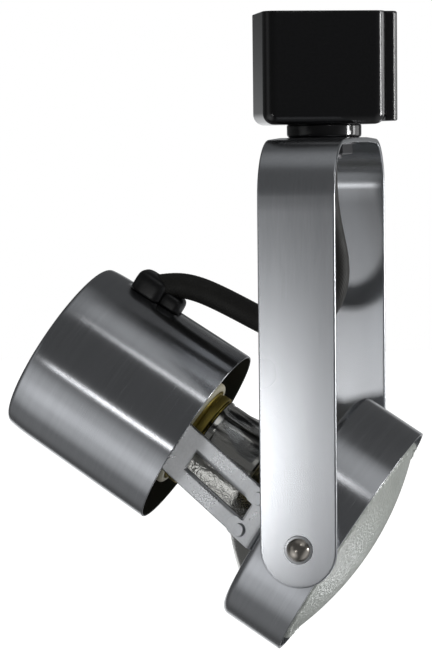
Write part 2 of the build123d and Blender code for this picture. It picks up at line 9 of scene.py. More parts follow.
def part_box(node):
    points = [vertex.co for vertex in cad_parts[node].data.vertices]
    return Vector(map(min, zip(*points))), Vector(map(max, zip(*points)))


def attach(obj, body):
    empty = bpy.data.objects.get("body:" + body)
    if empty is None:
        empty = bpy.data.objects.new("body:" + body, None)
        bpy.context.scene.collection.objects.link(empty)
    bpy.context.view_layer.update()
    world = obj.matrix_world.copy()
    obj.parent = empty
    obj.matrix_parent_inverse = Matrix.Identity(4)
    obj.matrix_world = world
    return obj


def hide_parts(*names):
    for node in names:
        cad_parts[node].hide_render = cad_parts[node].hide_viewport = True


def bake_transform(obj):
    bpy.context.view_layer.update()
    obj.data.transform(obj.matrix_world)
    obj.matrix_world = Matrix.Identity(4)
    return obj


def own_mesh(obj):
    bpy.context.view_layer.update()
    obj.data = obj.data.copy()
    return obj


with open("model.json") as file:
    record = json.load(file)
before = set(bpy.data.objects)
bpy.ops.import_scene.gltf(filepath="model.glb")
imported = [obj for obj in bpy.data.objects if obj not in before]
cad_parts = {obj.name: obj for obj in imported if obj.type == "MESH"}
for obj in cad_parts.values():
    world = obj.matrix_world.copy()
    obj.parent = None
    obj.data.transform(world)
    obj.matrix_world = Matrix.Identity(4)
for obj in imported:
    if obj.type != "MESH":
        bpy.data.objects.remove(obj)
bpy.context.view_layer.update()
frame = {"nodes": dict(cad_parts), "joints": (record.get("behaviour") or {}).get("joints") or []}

MM = 0.001

# ---------------------------------------------------------------- reference frames
tilt_joint = next(j for j in frame["joints"] if j["name"] == "head_tilt")
PIVOT = Vector(tilt_joint["pos_m"])
HEAD_Y = Vector(tilt_joint["axis"]).normalized()
UP = Vector((0, 0, 1))
HEAD_X = HEAD_Y.cross(UP).normalized()
TILT = math.radians(32.9)
BRACKET_TURN = math.radians(3.0)
QUARTER = math.radians(90)
AIM = HEAD_X * math.cos(TILT) - UP * math.sin(TILT)
LIFT = HEAD_X * math.sin(TILT) + UP * math.cos(TILT)


def frame_matrix(origin, x, y, z):
    m = Matrix((x, y, z)).transposed().to_4x4()
    m.translation = origin
    return m


# beam frame: z along the aim, y up out of the lamp; head frame: z up, y along the pivots
BEAM = frame_matrix(PIVOT, HEAD_Y, LIFT, AIM)
HEAD = frame_matrix(PIVOT, HEAD_X, HEAD_Y, UP)
# cage frame: the two legs stand at plus and minus y of this one, z along the aim
CAGE = BEAM @ Matrix.Rotation(BRACKET_TURN - QUARTER, 4, "Z")


# ---------------------------------------------------------------- mesh building
def finish_mesh(name, bm, matrix, material, smooth_angle=35.0, scale=MM):
    """bm is in millimetres in the frame given by matrix; the object keeps that frame as its own."""
    bmesh.ops.remove_doubles(bm, verts=bm.verts, dist=1e-4)
    bmesh.ops.recalc_face_normals(bm, faces=bm.faces)
    bmesh.ops.scale(bm, vec=(scale, scale, scale), verts=bm.verts)
    mesh = bpy.data.meshes.new(name)
    bm.to_mesh(mesh)
    bm.free()
    mesh.shade_smooth()
    mesh.set_sharp_from_angle(angle=math.radians(smooth_angle))
    ob = bpy.data.objects.new(name, mesh)
    bpy.context.scene.collection.objects.link(ob)
    ob.matrix_world = matrix
    if material:
        mesh.materials.append(material)
    return ob


def rounded(points, steps=6):
    """Polyline of (u, v, corner radius) with its corners turned into arcs."""
    out = []
    count = len(points)
    for i, (u, v, radius) in enumerate(points):
        p = Vector((u, v))
        if radius <= 0:
            out.append(p)
            continue
        a = (Vector(points[i - 1][:2]) - p).normalized()
        b = (Vector(points[(i + 1) % count][:2]) - p).normalized()
        half = a.angle(b) / 2
        cut = radius / math.tan(half)
        centre = p + (a + b).normalized() * (radius / math.sin(half))
        va, vb = p + a * cut - centre, p + b * cut - centre
        sweep = va.angle(vb)
        for k in range(steps + 1):
            t = k / steps
            w0 = math.sin((1 - t) * sweep) / math.sin(sweep)
            w1 = math.sin(t * sweep) / math.sin(sweep)
            out.append(centre + va * w0 + vb * w1)
    return out


def skin(bm, rings, closed_round=True, closed_along=False):
    """Quads between neighbouring rows of vertices."""
    pairs = list(zip(rings, rings[1:]))
    if closed_along:
        pairs.append((rings[-1], rings[0]))
    for a, b in pairs:
        count = max(len(a), len(b))
        for k in range(count if closed_round else count - 1):
            j = (k + 1) % count
            if len(a) == 1 and len(b) == 1:
                continue
            if len(a) == 1:
                bm.faces.new((a[0], b[j], b[k]))
            elif len(b) == 1:
                bm.faces.new((a[k], a[j], b[0]))
            else:
                bm.faces.new((a[k], a[j], b[j], b[k]))


def lathe(
    name, profile, matrix, material, segments=128, loop=True, smooth_angle=35.0, shape=None
):
    """Turned piece about local Z from (z, r) points.

    shape(z, r, angle) can push a point to a new (z, r).
    """
    bm = bmesh.new()
    rings = []
    for z, r in profile:
        if r < 1e-6:
            rings.append([bm.verts.new((0, 0, z))])
            continue
        ring = []
        for k in range(segments):
            angle = 2 * math.pi * k / segments
            pz, pr = shape(z, r, angle) if shape else (z, r)
            ring.append(bm.verts.new((pr * math.cos(angle), pr * math.sin(angle), pz)))
        rings.append(ring)
    skin(bm, rings, closed_along=loop)
    return finish_mesh(name, bm, matrix, material, smooth_angle)


def cut_with(ob, cutters):
    """Takes the cutter objects away from ob for good."""
    for cutter in cutters:
        mod = ob.modifiers.new("cut", "BOOLEAN")
        mod.operation = "DIFFERENCE"
        mod.solver = "EXACT"
        mod.object = cutter
    graph = bpy.context.evaluated_depsgraph_get()
    mesh = bpy.data.meshes.new_from_object(ob.evaluated_get(graph))
    old = ob.data
    ob.modifiers.clear()
    ob.data = mesh
    bpy.data.meshes.remove(old)
    mesh.name = ob.name
    for cutter in cutters:
        bpy.data.objects.remove(cutter)


def drill(matrix, where, direction, radius, length, segments=64):
    """Round cutter centred on a point of the frame given by matrix, in millimetres."""
    profile = [(-length / 2, 0), (-length / 2, radius), (length / 2, radius), (length / 2, 0)]
    turn = Vector(direction).to_track_quat("Z", "Y").to_matrix().to_4x4()
    place = matrix @ Matrix.Translation(Vector(where) * MM) @ turn
    return lathe("cutter", profile, place, None, segments, loop=False)


# ---------------------------------------------------------------- materials
class Look:
    """A node material being put together."""

    def __init__(self, name):
        self.material = bpy.data.materials.new(name)
        self.material.use_nodes = True
        self.tree = self.material.node_tree
        self.bsdf = self.tree.nodes["Principled BSDF"]
        self.out = self.tree.nodes["Material Output"]

    def node(self, kind, links=(), **settings):
        n = self.tree.nodes.new(kind)
        for key, value in settings.items():
            setattr(n, key, value)
        for socket, source in dict(links).items():
            if isinstance(source, bpy.types.NodeSocket):
                self.tree.links.new(source, n.inputs[socket])
            else:
                n.inputs[socket].default_value = source
        return n

    def put(self, **inputs):
        """Sets or links inputs of the surface shader; an underscore stands for a space."""
        for key, source in inputs.items():
            socket = self.bsdf.inputs[key.replace("_", " ")]
            if isinstance(source, bpy.types.NodeSocket):
                self.tree.links.new(source, socket)
            elif isinstance(source, tuple) and len(source) == 3:
                socket.default_value = (*source, 1)
            else:
                socket.default_value = source

    def place(self, scale, kind="Object"):
        """Coordinates in the piece's own frame, in metres times scale (one number or three)."""
        scale = (scale,) * 3 if isinstance(scale, (int, float)) else scale
        tc = self.node("ShaderNodeTexCoord")
        links = {"Vector": tc.outputs[kind], "Scale": scale}
        return self.node("ShaderNodeMapping", links).outputs[0]

    def noise(self, where, detail=4.0, rough=0.6):
        links = {"Vector": where, "Scale": 1.0, "Detail": detail, "Roughness": rough}
        return self.node("ShaderNodeTexNoise", links).outputs[0]

    def span(self, value, low, high, start=0.3, end=0.7):
        """Maps start..end to low..high; the defaults fit the usual reach of the noise."""
        links = {"Value": value, "From Min": start, "From Max": end}
        links |= {"To Min": low, "To Max": high}
        return self.node("ShaderNodeMapRange", links).outputs[0]

    def sum(self, a, b, operation="ADD"):
        return self.node("ShaderNodeMath", {0: a, 1: b}, operation=operation).outputs[0]

    def along(self, axis, low, high):
        """0 to 1 as the piece's own X, Y or Z, in millimetres, goes from low to high."""
        parts = self.node("ShaderNodeSeparateXYZ", {0: self.place(1 / MM)})
        return self.span(parts.outputs[axis], 0, 1, low, high)

    def mix(self, fac, a, b):
        mx = self.node("ShaderNodeMix", {0: fac}, data_type="RGBA")
        for socket, colour in ((6, a), (7, b)):
            if isinstance(colour, bpy.types.NodeSocket):
                self.tree.links.new(colour, mx.inputs[socket])
            else:
                mx.inputs[socket].default_value = (*colour, 1)
        return mx.outputs[2]

    def edges(self, radius):
        """Normal with the sharp edges softened over a radius in metres."""
        return self.node("ShaderNodeBevel", {"Radius": radius}, samples=4).outputs[0]

    def bump(self, height, strength, distance, normal=None):
        links = {"Height": height, "Strength": strength, "Distance": distance}
        if normal is not None:
            links["Normal"] = normal
        self.put(Normal=self.node("ShaderNodeBump", links).outputs[0])


def shade(colour, factor):
    return tuple(min(1.0, c * factor) for c in colour)


def brushed(
    name, base, grain, rough, aniso, turn=0.0, tone=0.08, spread=0.08, scratch=0.1, cloud=0.025
):
    """Brushed metal, its highlights stretched round or along local Z.

    grain is the noise scale along each axis of the piece: low along the lines, high across.
    """
    look = Look(name)
    fine = look.noise(look.place(grain), 6.0, 0.7)
    broad = look.noise(look.place(tuple(g * 0.08 for g in grain)), 3.0, 0.5)
    mottle = look.noise(look.place(38.0), 3.0, 0.55)
    colour = look.mix(look.span(fine, 0, 1), shade(base, 1 - tone), shade(base, 1 + tone))
    colour = look.mix(look.span(broad, 0, 0.35), colour, shade(base, 0.82))
    fine_gloss = look.span(fine, rough - spread / 2, rough + spread / 2)
    rough_now = look.sum(fine_gloss, look.span(mottle, -cloud, cloud))
    tangent = look.node("ShaderNodeTangent", direction_type="RADIAL", axis="Z")
    look.put(
        Base_Color=colour,
        Metallic=1.0,
        Roughness=rough_now,
        Anisotropic=aniso,
        Anisotropic_Rotation=turn,
        Tangent=tangent.outputs[0],
    )
    look.bump(fine, scratch, 0.00003)
    return look.material


def metal(name, base, rough, wear=0.06, edge=0.0002):
    """Plated or cast metal with faint mottling and softened edges."""
    look = Look(name)
    fine = look.noise(look.place(260.0), 5.0, 0.6)
    wide = look.noise(look.place(45.0), 2.0, 0.5)
    worn = look.mix(look.span(fine, 0, 1), shade(base, 0.86), base)
    gloss = look.span(fine, rough - wear / 2, rough + wear / 2)
    look.put(
        Base_Color=worn,
        Metallic=1.0,
        Roughness=look.sum(gloss, look.span(wide, -0.03, 0.03)),
    )
    look.bump(fine, 0.06, 0.00008, look.edges(edge))
    return look.material


def enamel(name, base, rough, metallic=0.0, grain=900.0, texture=0.06, tone=0.06, edge=0.0003):
    """Paint, moulded plastic or glaze: fine surface texture, uneven gloss, softened edges."""
    look = Look(name)
    fine = look.noise(look.place(grain), 4.0, 0.6)
    wide = look.noise(look.place(55.0), 3.0, 0.55)
    colour = look.mix(look.span(fine, 0, 1), shade(base, 1 - tone), shade(base, 1 + tone))
    gloss = look.span(wide, rough * 0.85, rough * 1.2)
    look.put(
        Base_Color=colour,
        Metallic=metallic,
        Roughness=look.sum(gloss, look.span(fine, -0.02, 0.02)),
    )
    look.bump(fine, texture, 0.00006, look.edges(edge))
    return look.material


def mirrored(name, base, rough):
    """Silvered glass: dark flame-shaped reflections above, fine hammered stipple below."""
    look = Look(name)
    tongues = look.noise(look.place((190.0, 190.0, 42.0)), 2.0, 0.45)
    flame = look.span(tongues, 0, 1, 0.52, 0.60)
    upper = look.sum(look.along("Y", -6.0, 2.0), look.along("Z", -26.0, -34.0), "MULTIPLY")
    stipple = look.noise(look.place(820.0), 2.0, 0.5)
    lower = look.sum(look.along("Y", -2.0, -8.0), look.along("Z", -24.0, -30.0), "MULTIPLY")
    height = look.sum(stipple, look.span(lower, 0.02, 1.0, 0, 1), "MULTIPLY")
    dark = look.sum(flame, upper, "MULTIPLY")
    look.put(
        Base_Color=look.mix(dark, base, shade(base, 0.12)),
        Metallic=1.0,
        Roughness=look.span(stipple, rough * 0.8, rough * 1.4),
    )
    look.bump(height, 1.0, 0.0006, look.edges(0.0003))
    return look.material


def stippled_glass(name, tint, clear, rough, dimple, depth):
    """Pressed glass before a mirrored bowl: part clear, part bright skin, with fine dimples."""
    look = Look(name)
    cell_links = {"Vector": look.place(1.0), "Scale": dimple}
    cells = look.node("ShaderNodeTexVoronoi", cell_links).outputs[0]
    cloud = look.noise(look.place(30.0), 3.0, 0.6)
    look.put(
        Base_Color=look.mix(look.span(cloud, 0, 1), shade(tint, 0.9), shade(tint, 1.08)),
        Roughness=look.span(cells, rough * 0.6, rough * 1.3, 0.0, 0.8),
        IOR=1.5,
        Specular_IOR_Level=0.7,
    )
    look.bump(cells, depth, 0.0003)
    through = look.node("ShaderNodeBsdfTransparent", {"Color": (*tint, 1)})
    layers = {0: clear, 1: look.bsdf.outputs[0], 2: through.outputs[0]}
    both = look.node("ShaderNodeMixShader", layers)
    look.tree.links.new(both.outputs[0], look.out.inputs["Surface"])
    return look.material


def braided(name, base):
    """Woven sleeve. UV u is turns round the cord and v is millimetres along it."""
    look = Look(name)
    threads = look.noise(look.place((420.0, 5.0, 1.0), "UV"), 3.0, 0.6)
    dust = look.noise(look.place(150.0), 4.0, 0.6)
    look.put(
        Base_Color=look.mix(look.span(threads, 0, 1), shade(base, 0.55), shade(base, 1.5)),
        Roughness=look.span(dust, 0.42, 0.62),
        Sheen_Weight=0.12,
        Sheen_Roughness=0.4,
        Specular_IOR_Level=0.45,
    )
    look.bump(threads, 0.3, 0.00006)
    return look.material


STEEL = (0.60, 0.615, 0.64)
ALUMINIUM = (0.50, 0.51, 0.53)
strap_metal = brushed(
    "strap_steel",
    STEEL,
    (1600, 1600, 90),
    0.24,
    0.05,
    tone=0.06,
    spread=0.002,
    scratch=0.02,
    cloud=0.002,
)
spun_metal = brushed("spun_aluminium", ALUMINIUM, (30, 30, 3000), 0.22, 0.85, turn=0.25)
# Dark, dull colour for the can's inside faces: painted shade, standing in for the shadow inside the
# can
painted_shade_inside = enamel("painted_shade_inside", (0.055, 0.055, 0.045), 0.6, metallic=0.6, texture=0.1)
gloss_black = enamel(
    "gloss_black", (0.006, 0.006, 0.0065), 0.07, texture=0.015, tone=0.2, edge=0.0011
)
satin_black = enamel("satin_black", (0.008, 0.008, 0.0085), 0.12, texture=0.03, tone=0.2)
nylon_black = enamel(
    "black_nylon", (0.007, 0.007, 0.0075), 0.34, texture=0.25, grain=600.0, tone=0.2
)
carrier_grey = enamel("insulator_grey", (0.12, 0.12, 0.125), 0.5)
brass = metal("contact_brass", (0.72, 0.56, 0.25), 0.3)
cap_brass = metal("cap_brass", (0.42, 0.33, 0.08), 0.46)
zinc = metal("zinc_steel", (0.60, 0.61, 0.63), 0.3)
nickel = metal("polished_nickel", (0.50, 0.46, 0.41), 0.22, wear=0.04, edge=0.0001)
# Dark steel for the stem, its washer and nut: painted shade, so the nut seen between the strap and
# the far arm reads as shade
shade_dark_steel = metal("painted_shade_steel", (0.10, 0.10, 0.105), 0.45)
satin_paint = enamel(
    "satin_paint", (0.58, 0.59, 0.605), 0.29, metallic=0.85, texture=0.10, edge=0.0004
)
mirror_glass = mirrored("mirrored_glass", (0.70, 0.69, 0.65), 0.12)
lens_glass = stippled_glass("lens_glass", (0.68, 0.71, 0.66), 0.12, 0.20, 900.0, 0.55)
quartz = stippled_glass("quartz", (0.85, 0.85, 0.83), 0.6, 0.08, 200.0, 0.05)
black_glass = enamel("black_glass", (0.03, 0.03, 0.035), 0.15)
porcelain = enamel("porcelain", (0.88, 0.83, 0.63), 0.35, texture=0.05)
woven = braided("woven_sleeve", (0.022, 0.021, 0.018))

FINISH = {
    "gloss_black": (gloss_black, "adapter_housing release_latch"),
    "satin_black": (satin_black, "swivel_collar"),
    "insulator_grey": (carrier_grey, "contact_carrier"),
    "contact_brass": (
        brass,
        "line_contact ground_contact neutral_contact cap_contact holder_sleeve holder_tongue",
    ),
    "zinc_steel": (
        zinc,
        "carrier_screws latch_spring pivot_washers pivot_spacers pivot_nuts"
        " cage_rivets holder_screws can_posts can_screws",
    ),
    "painted_shade_steel": (shade_dark_steel, "swivel_stem friction_washer stem_nut"),
    "polished_nickel": (nickel, "pivot_screws"),
    "strap_steel": (strap_metal, "yoke"),
    "spun_aluminium": (spun_metal, "lamp_ring rear_can"),
    "mirrored_glass": (mirror_glass, "lamp_bowl"),
    "lens_glass": (lens_glass, "lamp_lens"),
    "quartz": (quartz, "lamp_capsule"),
    "cap_brass": (cap_brass, "lamp_skirt lamp_cap"),
    "black_glass": (black_glass, "cap_insulator"),
    "porcelain": (porcelain, "lampholder"),
    "satin_paint": (satin_paint, "lamp_cage cage_feet"),
    "woven_sleeve": (woven, "power_cord"),
    "black_nylon": (nylon_black, "strain_relief"),
}
for material, nodes in FINISH.values():
    for node in nodes.split():
        ob = frame["nodes"][node]
        ob.data.materials.clear()
        ob.data.materials.append(material)


def stand_in(ob, node, body=None):
    """ob is shown in place of a CAD node, which is hidden; given a body, ob is hung from it."""
    if body:
        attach(ob, body)
    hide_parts(node)
    return ob


# ---------------------------------------------------------------- strap yoke
EDGE_STEPS, CAP_STEPS = 4, 14
FLAT_COLUMNS = (-0.976, -0.75, -0.5, -0.25, 0.0, 0.25, 0.5, 0.75, 0.976)


def bent_strap(name, path, width, thickness, edge, matrix, material, round_ends, crown=0.0):
    """Flat strap along a path of (u, v, nu, nv, s): place, outward normal, length so far.

    In the result u is y, v is z and the width lies along x. edge is the radius of the long
    edges, and crown bows the flats outwards by that much.
    """
    half = width / 2
    total = path[-1][4]
    layers = []
    for k in range(EDGE_STEPS + 1):
        angle = QUARTER * k / EDGE_STEPS
        height = thickness / 2 - edge + edge * math.cos(angle)
        layers.append((edge * (1 - math.sin(angle)), height))
    layers += [(inset, -t) for inset, t in reversed(layers)]

    def at(s, t):
        for p, q in zip(path, path[1:]):
            if s <= q[4] + 1e-9:
                w = (s - p[4]) / (q[4] - p[4])
                u, v, nu, nv = (p[i] + (q[i] - p[i]) * w for i in range(4))
                size = math.hypot(nu, nv)
                return u + nu / size * t, v + nv / size * t
        raise ValueError("past the end of the path")

    stations = []
    if round_ends:
        caps = [QUARTER * (1 - k / CAP_STEPS) for k in range(CAP_STEPS + 1)]
        stations += [(half, angle, 1) for angle in caps]
        stations += [(p[4], 0.0, 0) for p in path if half + 0.5 < p[4] < total - half - 0.5]
        stations += [(total - half, angle, -1) for angle in reversed(caps)]
    else:
        stations += [(p[4], 0.0, 0) for p in path]

    bm = bmesh.new()
    grid = []
    for inset, t in layers:
        r = half - inset
        row = []
        for i, (s, angle, end) in enumerate(stations):
            along = s - end * r * math.sin(angle)
            if not round_ends:
                along += inset * (1 if i == 0 else -1 if i == len(stations) - 1 else 0)
            w = r * math.cos(angle)
            u, v = at(along, t)
            row.append((bm.verts.new((-w, u, v)), bm.verts.new((w, u, v)), along, t, w))
        grid.append(row)
    for a, b in zip(grid, grid[1:]):
        for i in range(len(stations) - 1):
            bm.faces.new((a[i][0], a[i + 1][0], b[i + 1][0], b[i][0]))
            bm.faces.new((a[i][1], b[i][1], b[i + 1][1], a[i + 1][1]))
        for i in (0, len(stations) - 1):
            if not round_ends:
                bm.faces.new((a[i][0], b[i][0], b[i][1], a[i][1]))
    for row in (grid[0], grid[-1]):
        lines = []
        for left, right, along, t, w in row:
            inner = []
            for x in FLAT_COLUMNS:
                raised = t + crown * (1 - x * x) * w / half
                inner.append(bm.verts.new((x * w, *at(along, raised))))
            lines.append([left, *inner, right])
        skin(bm, lines, closed_round=False)
    return finish_mesh(name, bm, matrix, material, 40.0)


def run_path(points, steps=12, pitch=6.0):
    """(u, v, nu, nv, s) samples of a polyline of (u, v, corner radius), normal on the left."""
    line = rounded(points, steps)
    dense = [line[0]]
    for p, q in zip(line, line[1:]):
        parts = max(1, int((q - p).length / pitch))
        dense += [p.lerp(q, (k + 1) / parts) for k in range(parts)]
    out = []
    s = 0.0
    for i, p in enumerate(dense):
        before = dense[max(i - 1, 0)]
        after = dense[min(i + 1, len(dense) - 1)]
        d = (after - before).normalized()
        if i:
            s += (p - before).length
        out.append((p.x, p.y, -d.y, d.x, s))
    return out


# Middle of the strap's thickness, from the pivot; the web sinks a little towards its corners
ARM = 58.5
WEB = 156.2
WEB_FALL = 1.2
WEB_FLAT = 18
STRAP_WIDTH, STRAP_THICKNESS = 30.0, 2.0
YOKE_BEND = 20.5
STEM_HOLE, PIVOT_HOLE = 7.55, 2.05
yoke_path = run_path(
    [
        (-ARM, -STRAP_WIDTH / 2, 0),
        (-ARM, WEB - WEB_FALL, YOKE_BEND),
        (-WEB_FLAT, WEB, YOKE_BEND),
        (WEB_FLAT, WEB, YOKE_BEND),
        (ARM, WEB - WEB_FALL, YOKE_BEND),
        (ARM, -STRAP_WIDTH / 2, 0),
    ],
    steps=16,
)
yoke = bent_strap(
    "yoke_strap",
    yoke_path,
    STRAP_WIDTH,
    STRAP_THICKNESS,
    0.55,
    HEAD,
    strap_metal,
    True,
    crown=0.06,
)
cut_with(
    yoke,
    [
        drill(HEAD, (0, 0, WEB), (0, 0, 1), STEM_HOLE, 8),
        drill(HEAD, (0, -ARM, 0), (0, 1, 0), PIVOT_HOLE, 8),
        drill(HEAD, (0, ARM, 0), (0, 1, 0), PIVOT_HOLE, 8),
    ],
)
stand_in(yoke, "yoke", "yoke")

# ---------------------------------------------------------------- grip collar
COLLAR_LOBES = 4
COLLAR_RADIUS, COLLAR_BORE = 15.0, 7.6
RECESS_DEPTH = 2.2
RECESS_HALF = math.radians(18)
RECESS_FLANK = math.radians(3.0)
RECESS_AT = math.radians(-97)


def collar_shape(z, r, angle):
    """Broad lobes parted by flat-bottomed recesses."""
    pitch = 2 * math.pi / COLLAR_LOBES
    offset = abs((angle - RECESS_AT + pitch / 2) % pitch - pitch / 2)
    step = max(0.0, min(1.0, (RECESS_HALF - offset) / RECESS_FLANK))
    on_rim = r > COLLAR_RADIUS - 3
    return z, r - RECESS_DEPTH * step * step * (3 - 2 * step) * on_rim


collar_low, collar_high = (corner[2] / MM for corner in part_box("swivel_collar"))
collar_profile = rounded(
    [
        (collar_low, COLLAR_BORE, 0),
        (collar_low, COLLAR_RADIUS, 1.3),
        (collar_high, COLLAR_RADIUS, 0.6),
        (collar_high, COLLAR_BORE, 0),
    ],
    6,
)
collar = lathe(
    "grip_collar", collar_profile, Matrix.Identity(4), satin_black, 288, smooth_angle=50
)
stand_in(collar, "swivel_collar", "adapter")


# ---------------------------------------------------------------- rear can
def paint_shade_inside(ob, behind, mouth_radius):
    """Faces inside a spun shell, which look at the axis, take a dark colour: painted shade for the
    shadow that falls inside the shell.
    """
    ob.data.materials.append(painted_shade_inside)
    for face in ob.data.polygons:
        x, y, z = face.center
        outwards = face.normal.x * x + face.normal.y * y
        within = z > behind * MM and math.hypot(x, y) < mouth_radius * MM
        if within and (outwards < 0 or face.normal.z > 0.9):
            face.material_index = 1


CAN_REAR, CAN_MOUTH = -133.7, -64.5
CORD_EXIT = -113.5
SHOULDER_LONG, SHOULDER_DEEP, SHOULDER_FROM = 14, 1.5, 38.66
shoulder = [
    (
        CAN_REAR + SHOULDER_LONG * (1 - math.sin(t)),
        SHOULDER_FROM - SHOULDER_DEEP * (1 - math.cos(t)),
        0,
    )
    for t in (1.0, 0.8, 0.6, 0.4, 0.2)
]
can_profile = rounded(
    [
        (CAN_REAR, 0, 0),
        (CAN_REAR, 37.75, 2.2),
        *shoulder,
        (CAN_MOUTH, 39.5, 0.35),
        (CAN_MOUTH, 38.5, 0.35),
        (CAN_REAR + 1, 37.45, 3.0),
        (CAN_REAR + 1, 0, 0),
    ],
    8,
)
can = lathe("spun_can", can_profile, BEAM, spun_metal, 192, loop=False)
# The can's inside faces take the dark colour of painted shade
paint_shade_inside(can, CAN_REAR + 0.7, 38.9)
cut_with(
    can,
    [
        drill(BEAM, (0, 39, CORD_EXIT), (0, 1, 0), 5.6, 12),
        drill(BEAM, (7, 0, CAN_REAR), (0, 0, 1), 1.6, 6, 32),
        drill(BEAM, (-7, 0, CAN_REAR), (0, 0, 1), 1.6, 6, 32),
    ],
)
stand_in(can, "rear_can", "lamp_head")

# ---------------------------------------------------------------- front ring
RING_FRONT, RING_REAR = 12.0, -16.7
RING_RADIUS, RING_MOUTH, RING_WALL = 52.5, 43.0, 1.2
ring_profile = rounded(
    [
        (RING_FRONT, RING_RADIUS, 0.3),
        (RING_REAR, RING_RADIUS, 3.6),
        (RING_REAR, RING_MOUTH, 0.4),
        (RING_REAR + RING_WALL, RING_MOUTH, 0.4),
        (RING_REAR + RING_WALL, RING_RADIUS - RING_WALL, 2.4),
        (RING_FRONT, RING_RADIUS - RING_WALL, 0.3),
    ],
    8,
)
ring = lathe("gimbal_ring", ring_profile, BEAM, spun_metal, 224)
cut_with(ring, [drill(BEAM, (0, 0, 0), (1, 0, 0), PIVOT_HOLE, 120)])
stand_in(ring, "lamp_ring", "lamp_head")

# ---------------------------------------------------------------- reflector lamp
FACETS = 10
BOWL_START, BOWL_LONG = -36.0, 35.5
LENS_EDGE, LENS_APEX, LENS_RADIUS = 11.0, 20.4, 47.6


def bowl_shape(z, r, angle):
    """Moulded flats run down the neck and fade out into the round bowl."""
    step = 2 * math.pi / FACETS
    offset = (angle + step / 2) % step - step / 2
    flat = r * math.cos(step / 2) / math.cos(offset) / math.cos(step / 2) ** 0.5
    weight = max(0.0, min(1.0, (-24.0 - z) / 12.0))
    weight *= max(0.0, min(1.0, (z + 57.5) / 3.0))
    return z, r + (min(flat, r) - r) * weight


def bowl_radius(z):
    return math.sqrt(54.0 * (z + 42.6))


NECK = [
    (-61.0, 18.9),
    (-60.6, 19.7),
    (-59.4, 20.0),
    (-58.2, 19.3),
    (-57.2, 19.6),
    (-43.0, 19.6),
    (-38.0, 19.7),
]


def bowl_side(wall):
    """Outline of the glass from the neck to the rim, set in by the wall's thickness."""
    stations = [(z, r - wall) for z, r in NECK]
    for k in range(21):
        z = BOWL_START + BOWL_LONG * k / 20
        stations.append((z, max(bowl_radius(z), 19.9) - wall))
    return [(z, min(r, LENS_RADIUS - wall)) for z, r in stations]


GLASS_WALL = 1.8
bowl_profile = bowl_side(0.0) + [(0.6, LENS_RADIUS), (9.0, LENS_RADIUS)]
bowl_profile += [(9.6, 47.0), (9.6, 46.4), (0.0, 45.8)]
bowl_profile += list(reversed(bowl_side(GLASS_WALL)))
bowl = lathe(
    "mirrored_bowl", bowl_profile, BEAM, mirror_glass, 160, shape=bowl_shape, smooth_angle=50
)
stand_in(bowl, "lamp_bowl", "lamp_head")

SKIRT_REAR, SKIRT_FRONT = -70.0, -61.2
SKIRT_RADIUS, SKIRT_GROOVE, SKIRT_INSIDE = 20.6, 20.1, 19.4
SKIRT_FLOOR = -68.6
skirt_profile = rounded(
    [
        (SKIRT_REAR, 0, 0),
        (SKIRT_REAR, SKIRT_RADIUS, 1.0),
        (-65.9, SKIRT_RADIUS, 0.2),
        (-65.5, SKIRT_GROOVE, 0.2),
        (-64.7, SKIRT_GROOVE, 0.2),
        (-64.3, SKIRT_RADIUS, 0.2),
        (SKIRT_FRONT, SKIRT_RADIUS, 0.3),
        (SKIRT_FRONT, SKIRT_INSIDE, 0.2),
        (SKIRT_FLOOR, SKIRT_INSIDE, 0.3),
        (SKIRT_FLOOR, 0, 0),
    ],
    4,
)
skirt = lathe("skirt_band", skirt_profile, BEAM, cap_brass, 128, loop=False)
stand_in(skirt, "lamp_skirt", "lamp_head")

PEBBLES = 1900
GOLDEN_TURN = 2.39996
PEBBLE_RISE = 0.05
LENS_THICK = 2.9
BEAD_AT, BEAD_HALF, BEAD_RISE = 46.3, 1.3, 1.1
lens_rise = LENS_APEX - LENS_EDGE
lens_sphere = (LENS_RADIUS**2 + lens_rise**2) / (2 * lens_rise)
pebbles = kdtree.KDTree(PEBBLES)
for k in range(PEBBLES):
    spread = LENS_RADIUS * math.sqrt((k + 0.5) / PEBBLES)
    turn = k * GOLDEN_TURN
    pebbles.insert((spread * math.cos(turn), spread * math.sin(turn), 0), k)
pebbles.balance()


def lens_height(r):
    return LENS_APEX - lens_sphere + math.sqrt(lens_sphere**2 - r * r)


def lens_shape(z, r, angle):
    """Pebbled front: one low bump for each seed; the rim carries an uneven pressed bead."""
    if z < LENS_EDGE - 0.2 or r < 0.2:
        return z, r
    if r > BEAD_AT - BEAD_HALF:
        uneven = math.sin(angle * 37) * math.sin(angle * 61 + 1.3) + 0.6 * math.sin(angle * 143)
        bead = max(0.0, 1 - ((r - BEAD_AT) / BEAD_HALF) ** 2)
        return z + (BEAD_RISE + 0.30 * uneven) * bead, r
    gap = pebbles.find((r * math.cos(angle), r * math.sin(angle), 0))[2]
    return z + PEBBLE_RISE * max(0.0, 1 - gap**2), r


lens_profile = [(lens_height(r), r) for r in (0.45 * k for k in range(101))]
lens_profile += [
    (lens_height(r), r) for r in (45.3, 45.6, 45.9, 46.2, 46.5, 46.8, 47.1, 47.4)
]
lens_profile += [(LENS_EDGE - 0.3, LENS_RADIUS - 0.05), (LENS_EDGE - 0.6, LENS_RADIUS)]
lens_profile += [(9.9, LENS_RADIUS), (9.7, LENS_RADIUS - 0.3), (9.7, LENS_RADIUS - 2)]
lens_profile += [(lens_height(r) - LENS_THICK, r) for r in (45.0, 38.0, 30.0, 20.0, 10.0)]
lens_profile += [(LENS_APEX - LENS_THICK, 0)]
lens = lathe(
    "pebbled_lens",
    lens_profile,
    BEAM,
    lens_glass,
    420,
    loop=False,
    shape=lens_shape,
    smooth_angle=60,
)
# Placed in the row frame itself, so that its box is measured true
lens.data.transform(lens.matrix_world)
lens.matrix_world = Matrix.Identity(4)
stand_in(lens, "lamp_lens", "lamp_head")


